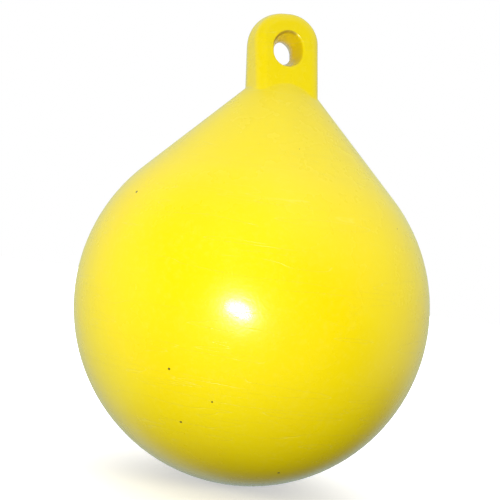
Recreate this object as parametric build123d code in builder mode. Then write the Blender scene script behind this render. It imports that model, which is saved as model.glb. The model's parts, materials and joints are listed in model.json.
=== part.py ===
from build123d import *
from math import cos, radians, sin, tan
import os

# Anchor buoy: a hollow inflated vinyl float with a solid moulded rope eye and a filler valve.
# Millimetres and degrees. +Z runs up the axis towards the eye, +X across the flat of the eye,
# and +Y is the side that carries the valve. The origin is on the axis at the waterline.

# Float
body_diameter = 300.0
shoulder_angle = 44.0
wall = 4.0
draught = 63.0

# Crown of the eye, and the neck of the float that it sits in
crown_foot_radius = 48.0
crown_top_radius = 16.0
neck_bore_radius = 36.0
collar_wall = 5.0
collar_depth = 20.0
neck_flange = 6.0
root_length = 18.0

# Rope eye
eye_height = 86.0
eye_width = 60.5
eye_top_flat = 4.5
eye_foot_thickness = 54.0
eye_tip_thickness = 36.0
eye_foot_spread = 1.0
eye_foot_depth = 20.0
eye_parting_radius = 25.0
eye_side_draft = 11.0
eye_edge_radius = 10.0
eye_foot_radius = 3.0
eye_lean = 6.7
eye_offset = 1.9
hole_waist_width = 14.5
hole_waist_height = 18.5
hole_to_tip = 33.7
hole_flare = 14.0
hole_lip_radius = 2.0
hole_waist_radius = 20.0

# Filler valve, set into the shoulder on the far side
valve_share = 0.73
valve_boss_radius = 17.0
valve_boss_depth = 11.0
valve_flange_radius = 11.0
valve_flange_thickness = 2.4
valve_shank_radius = 7.0
valve_shank_length = 13.0
screw_head_radius = 5.5
screw_head_height = 1.8
screw_shank_radius = 3.2
screw_shank_length = 9.0
screw_slot_width = 1.4
screw_slot_depth = 1.0
fit_gap = 0.2

# Worked out from the sizes above
body_radius = body_diameter / 2
inner_radius = body_radius - wall
centre_z = body_radius - draught
side_sin = sin(radians(shoulder_angle))
side_cos = cos(radians(shoulder_angle))
side_tan = tan(radians(shoulder_angle))
apex_z = centre_z + body_radius / side_sin
inner_apex_z = centre_z + inner_radius / side_sin
seam_z = apex_z - crown_foot_radius / side_tan
root_radius = neck_bore_radius - fit_gap
crown_centre_z = apex_z - crown_top_radius / side_sin
eye_half = eye_width / 2
eye_shoulder_radius = eye_half - eye_top_flat / 2
eye_foot_half = eye_half + eye_foot_spread
hole_centre_height = eye_height - hole_to_tip
eye_foot_height = (crown_foot_radius - eye_foot_thickness / 2) / side_tan
eye_side_slope = (eye_foot_thickness - eye_tip_thickness) / 2 / (eye_height - eye_foot_height)
eye_root_half = eye_foot_thickness / 2 + eye_side_slope * (eye_foot_height + eye_foot_depth)
collar_radius = neck_bore_radius + collar_wall
neck_under_z = seam_z - neck_flange
shoulder_foot_radius = body_radius * side_cos
valve_station = crown_foot_radius + valve_share * (shoulder_foot_radius - crown_foot_radius)


def shoulder_plane(radius):
    """Plane on the far shoulder, at a radius from the axis, with its normal out of the cone."""
    place = (0, radius, apex_z - radius / side_tan)
    return Plane(origin=place, x_dir=(1, 0, 0), z_dir=(0, side_cos, side_sin))


lean = radians(eye_lean)
eye_plane = Plane(origin=(eye_offset, 0, seam_z), x_dir=(cos(lean), 0, sin(lean)), z_dir=(0, -1, 0))
valve_plane = shoulder_plane(valve_station)
os.makedirs("parts", exist_ok=True)

# Shell: round float, tangent shoulder cone, and a collar that hangs inside the open neck
with BuildPart() as shell:
    with BuildSketch(Plane.XZ) as shell_section:
        with BuildLine():
            outside = CenterArc((0, centre_z), body_radius, -90, 90 + shoulder_angle)
            inside = CenterArc((0, centre_z), inner_radius, -90, 90 + shoulder_angle)
            Polyline(
                outside @ 1,
                (crown_foot_radius, seam_z),
                (neck_bore_radius, seam_z),
                (neck_bore_radius, seam_z - collar_depth),
                (collar_radius, seam_z - collar_depth),
                (collar_radius, neck_under_z),
                ((inner_apex_z - neck_under_z) * side_tan, neck_under_z),
                inside @ 1,
            )
            Line(inside @ 0, outside @ 0)
        make_face()
    revolve(axis=Axis.Z)
    with BuildSketch(valve_plane) as valve_boss:
        Circle(valve_boss_radius)
    extrude(amount=-valve_boss_depth)
    with BuildSketch(valve_plane) as valve_recess:
        Circle(valve_flange_radius + fit_gap)
    extrude(amount=-valve_flange_thickness, mode=Mode.SUBTRACT)
    with BuildSketch(valve_plane) as valve_bore:
        Circle(valve_shank_radius + fit_gap)
    extrude(amount=-valve_flange_thickness - valve_shank_length, mode=Mode.SUBTRACT)
shell.part.label = "shell"
export_step(shell.part, "parts/shell.step")

# Eye: crown that closes the cone, root in the neck, and the upright lug with its rope hole.
# The lug is thinner at its tip than at its foot, and the hole is narrowest half way through.
with BuildPart() as eye:
    with BuildSketch(eye_plane) as lug_outline:
        Polygon(
            (-eye_foot_half, -eye_foot_depth),
            (eye_foot_half, -eye_foot_depth),
            (eye_half, eye_height),
            (-eye_half, eye_height),
            align=None,
        )
        fillet(lug_outline.vertices().group_by(Axis.Y)[-1], eye_shoulder_radius)
    extrude(amount=eye_root_half, both=True, taper=eye_side_draft)
    parting = eye.edges().filter_by_position(Axis.Y, -fit_gap, fit_gap)
    fillet(parting, eye_parting_radius)
    with BuildSketch(Plane.YZ) as lug_side:
        Polygon(
            (-eye_root_half, seam_z - eye_foot_depth),
            (eye_root_half, seam_z - eye_foot_depth),
            (eye_tip_thickness / 2, seam_z + eye_height),
            (-eye_tip_thickness / 2, seam_z + eye_height),
            align=None,
        )
    extrude(amount=eye_width, both=True, mode=Mode.INTERSECT)
    lug_faces = eye.faces().sort_by(Axis.Y)
    face_outlines = lug_faces[0].edges() + lug_faces[-1].edges()
    fillet(face_outlines, eye_edge_radius)
    split(bisect_by=Plane.XY.offset(seam_z), keep=Keep.TOP)
    with BuildSketch(Plane.XZ) as crown_section:
        with BuildLine():
            cap = CenterArc((0, crown_centre_z), crown_top_radius, shoulder_angle, 90 - shoulder_angle)
            Polyline(
                cap @ 0,
                (crown_foot_radius, seam_z),
                (root_radius, seam_z),
                (root_radius, seam_z - root_length),
                (0, seam_z - root_length),
                cap @ 1,
            )
        make_face()
    revolve(axis=Axis.Z)
    foot_edges = eye.edges(Select.NEW).filter_by(lambda edge: edge.center().Z > seam_z + eye_foot_radius)
    fillet(foot_edges, eye_foot_radius)
    with BuildSketch(eye_plane) as rope_hole:
        with Locations((0, hole_centre_height)):
            SlotOverall(hole_waist_height, hole_waist_width, rotation=90)
    extrude(amount=eye_foot_thickness / 2, both=True, taper=-hole_flare, mode=Mode.SUBTRACT)
    hole_waist = eye.edges(Select.LAST).filter_by_position(Axis.Y, -fit_gap, fit_gap)
    fillet(hole_waist, hole_waist_radius)
    flat_faces = eye.faces().filter_by(GeomType.PLANE).sort_by(Axis.Y)
    hole_lips = flat_faces[0].inner_wires().edges() + flat_faces[-1].inner_wires().edges()
    fillet(hole_lips, hole_lip_radius)
eye.part.label = "eye"
export_step(eye.part, "parts/eye.step")

# Valve body: flanged bush pressed into the boss, with a bore for the screw
with BuildPart() as valve_body:
    with BuildSketch(valve_plane) as flange_outline:
        Circle(valve_flange_radius)
    extrude(amount=-valve_flange_thickness)
    with BuildSketch(valve_plane.offset(-valve_flange_thickness)) as shank_outline:
        Circle(valve_shank_radius)
    extrude(amount=-valve_shank_length)
    with BuildSketch(valve_plane) as screw_seat:
        Circle(screw_head_radius + fit_gap)
    extrude(amount=-screw_head_height, mode=Mode.SUBTRACT)
    with BuildSketch(valve_plane) as screw_bore:
        Circle(screw_shank_radius + fit_gap)
    extrude(amount=-valve_flange_thickness - valve_shank_length, mode=Mode.SUBTRACT)
valve_body.part.label = "valve_body"
export_step(valve_body.part, "parts/valve_body.step")

# Valve screw: slotted plug that closes the bore, its head flush with the flange
with BuildPart() as valve_screw:
    with BuildSketch(valve_plane) as head_outline:
        Circle(screw_head_radius)
    extrude(amount=-screw_head_height)
    with BuildSketch(valve_plane.offset(-screw_head_height)) as screw_outline:
        Circle(screw_shank_radius)
    extrude(amount=-screw_shank_length)
    with BuildSketch(valve_plane) as driver_slot:
        Rectangle(2 * valve_flange_radius, screw_slot_width)
    extrude(amount=-screw_slot_depth, mode=Mode.SUBTRACT)
valve_screw.part.label = "valve_screw"
export_step(valve_screw.part, "parts/valve_screw.step")
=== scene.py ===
import json
from math import cos, radians, sin

import bpy
from mathutils import Matrix, Vector


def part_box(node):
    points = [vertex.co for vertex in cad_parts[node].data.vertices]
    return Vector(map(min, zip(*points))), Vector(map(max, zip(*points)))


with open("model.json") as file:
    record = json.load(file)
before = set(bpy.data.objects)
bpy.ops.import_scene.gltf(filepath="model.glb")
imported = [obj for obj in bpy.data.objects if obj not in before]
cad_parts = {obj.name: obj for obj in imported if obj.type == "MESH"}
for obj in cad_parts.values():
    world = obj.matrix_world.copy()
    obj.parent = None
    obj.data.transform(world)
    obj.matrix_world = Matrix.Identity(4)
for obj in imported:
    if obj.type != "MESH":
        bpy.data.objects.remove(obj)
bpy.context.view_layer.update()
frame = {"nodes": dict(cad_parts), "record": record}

# Anchor buoy: the looks of a glossy yellow vinyl float with its solid rope eye and black filler
# valve. Metres and degrees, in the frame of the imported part: +Z up the float's axis, +Y towards
# the valve.

# Where the float and its rope hole are
mounts = {mount["name"]: mount for mount in frame["record"]["mounts"]}
shell_low, shell_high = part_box("shell")
body_radius = (shell_high.x - shell_low.x) / 2
floor_height = shell_low.z
body_centre = Vector((0, 0, floor_height + body_radius))
hole_centre = Vector(mounts["rope_eye"]["pos_m"])
upward = Vector((0, 0, 1))

# Camera as it stood for the photograph, by its direction from the middle of the float.
# It aims at a point that much to the right of the middle and above it.
CAMERA_DISTANCE = 0.800
CAMERA_AZIMUTH = -13.59
CAMERA_ELEVATION = 2.47
CAMERA_ROLL = 7.88
CAMERA_LENS = 67.1
SENSOR_WIDTH = 36.0
AIM_RIGHT = -0.0080
AIM_UP = 0.0473

# Front lamp, by its turn from the camera's azimuth, its drop below the camera's elevation and its
# tilt against the camera's roll
KEY_TURN = -6.4
KEY_DROP = 3.5
KEY_DISTANCE = 0.85
KEY_SIZE = (0.235, 0.12)
KEY_TILT = 27.0
KEY_POWER = 3.55

# Side lamps: turn from the camera's azimuth, lift above the level of the float's middle, and power
SIDE_LAMPS = {"right": (66.0, 8.0, 6.6), "left": (-72.0, 8.0, 7.0)}
SIDE_DISTANCE = 1.5
SIDE_SIZE = (0.4, 0.4)

# Soft light from the sky and the floor: turn from the camera's azimuth, lift and strength
SKY_LIGHTS = ((180.0, 20.0, 1.45), (0.0, 90.0, 1.5))
FLOOR_LIGHT = (-15.0, 0.0, 0.65)

# Reflections: the pale cool level of the studio, and its dim zones as turn, lift, core and edge
WHITE = (1, 1, 1, 1)
REFLECTION_TINT = (0.80, 1.0, 1.0, 1)
PALE_LEVEL = 0.62
DIM_LEVEL = 0.03
DIM_ZONES = (
    (8.0, -25.0, 52.0, 90.0),
    (-45.0, 45.0, 12.0, 50.0),
    (20.0, -85.0, 25.0, 60.0),
    (125.0, -52.0, 12.0, 44.0),
)

# Floor: its paint for the camera and for the light that it sends back. Its glow for the camera is
# weaker near the object, where the shadow lies, and grows to full over the fade, which runs by the
# distance from the middle of the float.
FLOOR_RADIUS = 6.0
FLOOR_SIDES = 96
FLOOR_SEEN = (0.8, 0.8, 0.8, 1)
FLOOR_BOUNCE = (0.05, 0.045, 0.04, 1)
FLOOR_GLOW = 0.45
FLOOR_FADE = (0.18, 0.60)

# Vinyl. A noise is its scale, detail and roughness, a range is the two values of a noise between
# which its effect grows, and a bump is its height and strength.
YELLOW = (0.92, 0.75, 0.001, 1)
YELLOW_DEEP = (0.91, 0.72, 0.001, 1)
YELLOW_PALE = (0.95, 0.84, 0.10, 1)
CLOUD_NOISE = (7.0, 3.0, 0.55)
CLOUD_RANGE = (0.35, 0.68)
MOTTLE_NOISE = (240.0, 3.0, 0.65)
MOTTLE_RANGE = (0.45, 0.75)
MOTTLE_SHARE = 0.12
GLOSS_NOISE = (22.0, 4.0, 0.6)
GLOSS_RANGE = (0.3, 0.75)
VINYL_ROUGHNESS = (0.23, 0.31)
VINYL_SPECULAR = 0.4
COAT_WEIGHT = 0.25
COAT_ROUGHNESS = 0.10
WAVE_NOISE = (26.0, 2.0, 0.5)
WAVE_BUMP = (0.0012, 0.25)
PEEL_NOISE = (420.0, 2.0, 0.5)
PEEL_BUMP = (0.0004, 0.18)

# Specks of dirt: cells to the metre, the share of cells with a speck, and its radius in cells
SPECK = (0.16, 0.11, 0.02, 1)
SPECK_CELLS = 60.0
SPECK_SHARE = 0.16
SPECK_SIZE = (0.03, 0.075)

# Scratches: the ways they lie, as turns about X, Y and Z in radians. A scratch runs where its noise
# passes its middle value.
SCRATCH_TURNS = ((0.0, 0.8, 0.3), (0.5, -0.9, 1.1))
SCRATCH_STRETCH = (1.0, 1.0, 14.0)
SCRATCH_NOISE = (9.0, 1.0, 0.5)
SCRATCH_MIDDLE = 0.5
SCRATCH_WIDTH = 0.006
SCRATCH_SHARE = 0.35
SCRATCH_BUMP = (0.0002, 0.5)
PATCH_NOISE = (3.0, 1.0, 0.5)
PATCH_RANGE = (0.52, 0.60)

# Rub marks of the rope together with painted shade under the hole's upper lip, darkest on its -X
# side, measured in half-sizes of the hole's lip from the middle of the hole
# Brown of the rub marks, which also stands for painted shade under the upper lip
RUB_AND_SHADE = (0.30, 0.17, 0.03, 1)
HOLE_LIP = (0.0128, 1.0, 0.0148)
RUB_SHADE_WIDTH = (0.02, 0.11)
RUB_SHADE_HEIGHT = (-0.1, 0.3)
RUB_SHADE_SIDE = (0.1, 0.8)
RUB_SHADE_NOISE = (160.0, 3.0, 0.5)
RUB_SHADE_RANGE = (0.25, 0.5)
RUB_SHADE_SHARE = 0.75
RUB_SHADE_DULLNESS = 0.3

# Black plastic of the valve
PLASTIC_DARK = (0.012, 0.012, 0.013, 1)
PLASTIC_LIGHT = (0.035, 0.034, 0.033, 1)
PLASTIC_NOISE = (300.0, 3.0, 0.5)
PLASTIC_RANGE = (0.3, 0.7)
PLASTIC_ROUGHNESS = (0.42, 0.6)
PLASTIC_BUMP = (0.0002, 0.3)


def direction(azimuth, elevation):
    """Unit vector from the object towards a point seen at an azimuth and an elevation."""
    turn = radians(azimuth)
    lift = radians(elevation)
    return Vector((sin(turn) * cos(lift), -cos(turn) * cos(lift), sin(lift)))


def facing(place, target, roll):
    """Matrix of a camera or lamp at a place, looking at a target and rolled about that line."""
    forward = (target - place).normalized()
    right = forward.cross(upward).normalized()
    up = right.cross(forward)
    turned = right * cos(radians(roll)) + up * sin(radians(roll))
    upright = up * cos(radians(roll)) - right * sin(radians(roll))
    rows = Matrix((turned, upright, -forward)).transposed()
    return Matrix.Translation(place) @ rows.to_4x4()


def make_camera():
    """Camera at the photograph's place and angle."""
    outward = direction(CAMERA_AZIMUTH, CAMERA_ELEVATION)
    place = body_centre + outward * CAMERA_DISTANCE
    right = (-outward).cross(upward).normalized()
    up = right.cross(-outward)
    aim = body_centre + right * AIM_RIGHT + up * AIM_UP
    data = bpy.data.cameras.new("camera")
    data.lens = CAMERA_LENS
    data.sensor_width = SENSOR_WIDTH
    camera = bpy.data.objects.new("camera", data)
    bpy.context.scene.collection.objects.link(camera)
    camera.matrix_world = facing(place, aim, CAMERA_ROLL)
    bpy.context.scene.camera = camera


def oval_lamp(name, place, size, power, roll=0.0):
    """Oval lamp that faces the middle of the float and that the camera doesn't see."""
    data = bpy.data.lights.new(name, "AREA")
    data.shape = "ELLIPSE"
    data.size, data.size_y = size
    data.energy = power
    lamp = bpy.data.objects.new(name, data)
    bpy.context.scene.collection.objects.link(lamp)
    lamp.matrix_world = facing(place, body_centre, roll)
    lamp.visible_camera = False
    return lamp


def make_lamps():
    """Front lamp that gives the highlight, and two side lamps that reflections don't show."""
    outward = direction(CAMERA_AZIMUTH + KEY_TURN, CAMERA_ELEVATION - KEY_DROP)
    key_place = body_centre + outward * KEY_DISTANCE
    oval_lamp("key", key_place, KEY_SIZE, KEY_POWER, CAMERA_ROLL - KEY_TILT)
    for name, (turn, lift, power) in SIDE_LAMPS.items():
        place = body_centre + direction(CAMERA_AZIMUTH + turn, lift) * SIDE_DISTANCE
        lamp = oval_lamp(name, place, SIDE_SIZE, power)
        lamp.visible_glossy = False


class Nodes:
    """Short way to fill the node tree of a material or world."""

    def __init__(self, owner):
        owner.use_nodes = True
        self.tree = owner.node_tree
        self.tree.nodes.clear()

    def add(self, kind, **settings):
        """Adds a node with its settings."""
        node = self.tree.nodes.new(kind)
        for name, value in settings.items():
            setattr(node, name, value)
        return node

    def join(self, source, target):
        """Links an output to an input."""
        self.tree.links.new(source, target)

    def value(self, socket, what):
        """Sets a socket to a number, vector or colour, or joins another socket to it."""
        if isinstance(what, bpy.types.NodeSocket):
            self.join(what, socket)
        else:
            socket.default_value = what

    def math(self, operation, a, b=0.0):
        """Maths with one or two numbers."""
        node = self.add("ShaderNodeMath", operation=operation)
        self.value(node.inputs[0], a)
        self.value(node.inputs[1], b)
        return node.outputs["Value"]

    def vector(self, operation, a, b=(0.0, 0.0, 0.0), result="Vector"):
        """Maths with one or two vectors, whose result is a vector or a value."""
        node = self.add("ShaderNodeVectorMath", operation=operation)
        self.value(node.inputs[0], a)
        self.value(node.inputs[1], b)
        return node.outputs[result]

    def ramp(self, value, low, high, to_low=0.0, to_high=1.0):
        """Smooth step that goes from to_low to to_high while a value goes from low to high."""
        node = self.add("ShaderNodeMapRange", interpolation_type="SMOOTHSTEP")
        self.value(node.inputs["Value"], value)
        node.inputs["From Min"].default_value = low
        node.inputs["From Max"].default_value = high
        node.inputs["To Min"].default_value = to_low
        node.inputs["To Max"].default_value = to_high
        return node.outputs["Result"]

    def mix(self, factor, a, b, kind="RGBA"):
        """Colour, or with kind FLOAT a number, that goes from a to b with the factor."""
        node = self.add("ShaderNodeMix", data_type=kind)
        self.value(node.inputs["Factor"], factor)
        self.value(node.inputs["A"], a)
        self.value(node.inputs["B"], b)
        return node.outputs["Result"]

    def channel(self, colour, name):
        """One channel of a colour."""
        node = self.add("ShaderNodeSeparateColor")
        self.join(colour, node.inputs["Color"])
        return node.outputs[name]

    def noise(self, place, scale, detail, roughness):
        """Cloudy noise between 0 and 1."""
        node = self.add("ShaderNodeTexNoise")
        self.join(place, node.inputs["Vector"])
        node.inputs["Scale"].default_value = scale
        node.inputs["Detail"].default_value = detail
        node.inputs["Roughness"].default_value = roughness
        return node.outputs["Fac"]

    def bump(self, pattern, height, strength, under=None):
        """Relief from a pattern, laid over the relief under it."""
        node = self.add("ShaderNodeBump")
        self.join(pattern, node.inputs["Height"])
        node.inputs["Distance"].default_value = height
        node.inputs["Strength"].default_value = strength
        if under is not None:
            self.join(under, node.inputs["Normal"])
        return node.outputs["Normal"]


def new_finish(name):
    """Material for a piece, with its nodes, its shader and the place on the object."""
    material = bpy.data.materials.new(name)
    nodes = Nodes(material)
    shader = nodes.add("ShaderNodeBsdfPrincipled")
    output = nodes.add("ShaderNodeOutputMaterial")
    nodes.join(shader.outputs["BSDF"], output.inputs["Surface"])
    place = nodes.add("ShaderNodeTexCoord").outputs["Object"]
    return material, nodes, shader, place


def specks(nodes, place):
    """Few small dark spots of dirt, each in its own cell."""
    cells = nodes.add("ShaderNodeTexVoronoi")
    nodes.join(place, cells.inputs["Vector"])
    cells.inputs["Scale"].default_value = SPECK_CELLS
    chosen = nodes.math("LESS_THAN", nodes.channel(cells.outputs["Color"], "Red"), SPECK_SHARE)
    size = nodes.ramp(nodes.channel(cells.outputs["Color"], "Green"), 0.0, 1.0, *SPECK_SIZE)
    inside = nodes.math("LESS_THAN", cells.outputs["Distance"], size)
    return nodes.math("MULTIPLY", inside, chosen)


def scratches_one_way(nodes, place, turn):
    """Fine straight scratches in a few patches, all lying one way."""
    turned = nodes.add("ShaderNodeMapping")
    nodes.join(place, turned.inputs["Vector"])
    turned.inputs["Rotation"].default_value = turn
    turned.inputs["Scale"].default_value = SCRATCH_STRETCH
    stretched = turned.outputs["Vector"]
    from_middle = nodes.math("SUBTRACT", nodes.noise(stretched, *SCRATCH_NOISE), SCRATCH_MIDDLE)
    line = nodes.ramp(nodes.math("ABSOLUTE", from_middle), 0.0, SCRATCH_WIDTH, 1.0, 0.0)
    patch = nodes.ramp(nodes.noise(stretched, *PATCH_NOISE), *PATCH_RANGE)
    return nodes.math("MULTIPLY", line, patch)


def scratches(nodes, place):
    """The scratches of all ways together."""
    scratched = 0.0
    for turn in SCRATCH_TURNS:
        scratched = nodes.math("MAXIMUM", scratches_one_way(nodes, place, turn), scratched)
    return scratched


def rope_rub_and_painted_shade(nodes, place):
    """Brown rub marks and painted shade round the upper lip of the hole, on both faces, fading out
    towards +X.
    """
    in_lips = nodes.vector("DIVIDE", nodes.vector("SUBTRACT", place, hole_centre), HOLE_LIP)
    parts = nodes.add("ShaderNodeSeparateXYZ")
    nodes.join(in_lips, parts.inputs["Vector"])
    across = parts.outputs["X"]
    above = parts.outputs["Z"]
    across_squared = nodes.math("MULTIPLY", across, across)
    above_squared = nodes.math("MULTIPLY", above, above)
    reach = nodes.math("SQRT", nodes.math("ADD", across_squared, above_squared))
    off_lip = nodes.math("ABSOLUTE", nodes.math("SUBTRACT", reach, 1.0))
    ring = nodes.ramp(off_lip, *RUB_SHADE_WIDTH, 1.0, 0.0)
    upper = nodes.ramp(above, *RUB_SHADE_HEIGHT)
    # Stronger on the -X side, where the painted shade under the lip lies
    shaded_side = nodes.ramp(across, *RUB_SHADE_SIDE, 1.0, 0.0)
    uneven = nodes.ramp(nodes.noise(place, *RUB_SHADE_NOISE), *RUB_SHADE_RANGE)
    mark = nodes.math("MULTIPLY", ring, upper)
    return nodes.math("MULTIPLY", mark, nodes.math("MULTIPLY", shaded_side, uneven))


def vinyl_colour(nodes, place, scratched):
    """Bright yellow with faint clouds and mottling, pale scratches and dark specks."""
    clouds = nodes.ramp(nodes.noise(place, *CLOUD_NOISE), *CLOUD_RANGE)
    colour = nodes.mix(clouds, YELLOW, YELLOW_DEEP)
    mottle = nodes.ramp(nodes.noise(place, *MOTTLE_NOISE), *MOTTLE_RANGE, 0.0, MOTTLE_SHARE)
    colour = nodes.mix(mottle, colour, YELLOW_PALE)
    colour = nodes.mix(nodes.math("MULTIPLY", scratched, SCRATCH_SHARE), colour, YELLOW_PALE)
    return nodes.mix(specks(nodes, place), colour, SPECK)


def vinyl_relief(nodes, place, scratched):
    """Broad soft waves, with orange peel on them and the scratches cut into both."""
    waves = nodes.bump(nodes.noise(place, *WAVE_NOISE), *WAVE_BUMP)
    peel = nodes.bump(nodes.noise(place, *PEEL_NOISE), *PEEL_BUMP, waves)
    return nodes.bump(nodes.math("SUBTRACT", 1.0, scratched), *SCRATCH_BUMP, peel)


def vinyl(name, rubbed_and_shaded=False):
    """Glossy moulded vinyl, with the rope's rub marks and painted shade round the hole's upper lip
    when asked.
    """
    material, nodes, shader, place = new_finish(name)
    scratched = scratches(nodes, place)
    colour = vinyl_colour(nodes, place, scratched)
    roughness = nodes.ramp(nodes.noise(place, *GLOSS_NOISE), *GLOSS_RANGE, *VINYL_ROUGHNESS)
    if rubbed_and_shaded:
        # Painted shade under the hole's upper lip, together with the rope's rub marks, darkens the
        # colour here
        rub_and_shade = rope_rub_and_painted_shade(nodes, place)
        colour = nodes.mix(nodes.math("MULTIPLY", rub_and_shade, RUB_SHADE_SHARE), colour, RUB_AND_SHADE)
        roughness = nodes.math("ADD", roughness, nodes.math("MULTIPLY", rub_and_shade, RUB_SHADE_DULLNESS))
    nodes.join(colour, shader.inputs["Base Color"])
    nodes.join(roughness, shader.inputs["Roughness"])
    nodes.join(vinyl_relief(nodes, place, scratched), shader.inputs["Normal"])
    shader.inputs["Specular IOR Level"].default_value = VINYL_SPECULAR
    shader.inputs["Coat Weight"].default_value = COAT_WEIGHT
    shader.inputs["Coat Roughness"].default_value = COAT_ROUGHNESS
    return material


def valve_plastic():
    """Black plastic with a fine grain."""
    material, nodes, shader, place = new_finish("black_plastic")
    grain = nodes.noise(place, *PLASTIC_NOISE)
    roughness = nodes.ramp(grain, *PLASTIC_RANGE, *PLASTIC_ROUGHNESS)
    nodes.join(nodes.mix(grain, PLASTIC_DARK, PLASTIC_LIGHT), shader.inputs["Base Color"])
    nodes.join(roughness, shader.inputs["Roughness"])
    nodes.join(nodes.bump(grain, *PLASTIC_BUMP), shader.inputs["Normal"])
    return material


def towards(nodes, ray, turn, lift):
    """Cosine of the angle between a ray and a direction turned from the camera's azimuth."""
    return nodes.vector("DOT_PRODUCT", ray, direction(CAMERA_AZIMUTH + turn, lift), "Value")


def brightness_seen(nodes, ray):
    """How bright the studio looks in a reflection, by direction: pale, but for its dim zones."""
    level = PALE_LEVEL
    for turn, lift, core, edge in DIM_ZONES:
        near = towards(nodes, ray, turn, lift)
        dimmed = nodes.ramp(near, cos(radians(edge)), cos(radians(core)), 1.0, DIM_LEVEL)
        level = nodes.math("MULTIPLY", dimmed, level)
    return level


def light_thrown(nodes, ray, lights):
    """Soft light on the object by its direction, as a sum of broad lobes."""
    total = 0.0
    for turn, lift, strength in lights:
        lobe = nodes.math("MAXIMUM", towards(nodes, ray, turn, lift), 0.0)
        lobe = nodes.math("MULTIPLY", lobe, lobe)
        total = nodes.math("ADD", nodes.math("MULTIPLY", lobe, strength), total)
    return total


def floor_white():
    """White with a soft shadow for the camera, dim for the object, and clear for reflections."""
    material = bpy.data.materials.new("floor_white")
    nodes = Nodes(material)
    path = nodes.add("ShaderNodeLightPath")
    camera = path.outputs["Is Camera Ray"]
    place = nodes.add("ShaderNodeNewGeometry").outputs["Position"]
    apart = nodes.vector("SUBTRACT", place, body_centre)
    thrown = light_thrown(nodes, nodes.vector("NORMALIZE", apart), (FLOOR_LIGHT,))
    shown = nodes.ramp(nodes.vector("LENGTH", apart, result="Value"), *FLOOR_FADE, FLOOR_GLOW, 1.0)
    paint = nodes.add("ShaderNodeBsdfDiffuse")
    nodes.join(nodes.mix(camera, FLOOR_BOUNCE, FLOOR_SEEN), paint.inputs["Color"])
    glow = nodes.add("ShaderNodeEmission")
    nodes.join(nodes.mix(camera, thrown, shown, "FLOAT"), glow.inputs["Strength"])
    both = nodes.add("ShaderNodeAddShader")
    nodes.join(paint.outputs["BSDF"], both.inputs[0])
    nodes.join(glow.outputs["Emission"], both.inputs[1])
    clear = nodes.add("ShaderNodeBsdfTransparent")
    surface = nodes.add("ShaderNodeMixShader")
    nodes.join(path.outputs["Is Glossy Ray"], surface.inputs["Fac"])
    nodes.join(both.outputs["Shader"], surface.inputs[1])
    nodes.join(clear.outputs["BSDF"], surface.inputs[2])
    output = nodes.add("ShaderNodeOutputMaterial")
    nodes.join(surface.outputs["Shader"], output.inputs["Surface"])
    material.cycles.emission_sampling = "NONE"
    return material


def make_floor():
    """Round floor that the float stands on."""
    bpy.ops.mesh.primitive_circle_add(vertices=FLOOR_SIDES, radius=FLOOR_RADIUS, fill_type="NGON")
    floor = bpy.context.object
    floor.name = "floor"
    floor.location = (0, 0, floor_height)
    floor.data.materials.append(floor_white())


def make_world():
    """White for the camera, pale with dim zones for reflections, and soft light for the object."""
    world = bpy.data.worlds.new("studio")
    nodes = Nodes(world)
    path = nodes.add("ShaderNodeLightPath")
    glossy = path.outputs["Is Glossy Ray"]
    ray = nodes.add("ShaderNodeTexCoord").outputs["Generated"]
    thrown = light_thrown(nodes, ray, SKY_LIGHTS)
    level = nodes.mix(glossy, thrown, brightness_seen(nodes, ray), "FLOAT")
    seen = nodes.math("MAXIMUM", path.outputs["Is Camera Ray"], path.outputs["Is Transmission Ray"])
    sky = nodes.add("ShaderNodeBackground")
    nodes.join(nodes.mix(glossy, WHITE, REFLECTION_TINT), sky.inputs["Color"])
    nodes.join(nodes.mix(seen, level, 1.0, "FLOAT"), sky.inputs["Strength"])
    output = nodes.add("ShaderNodeOutputWorld")
    nodes.join(sky.outputs["Background"], output.inputs["Surface"])
    world.cycles.sampling_method = "NONE"
    bpy.context.scene.world = world


def dress_pieces():
    """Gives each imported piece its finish."""
    black = valve_plastic()
    finishes = {
        "shell": vinyl("shell_vinyl"),
        # The eye gets the rub marks and the painted shade round its hole
        "eye": vinyl("eye_vinyl", rubbed_and_shaded=True),
        "valve_body": black,
        "valve_screw": black,
    }
    for name, material in finishes.items():
        piece = frame["nodes"][name]
        piece.data.materials.clear()
        piece.data.materials.append(material)


bpy.context.scene.view_settings.view_transform = "Standard"
make_camera()
make_world()
make_floor()
make_lamps()
dress_pieces()
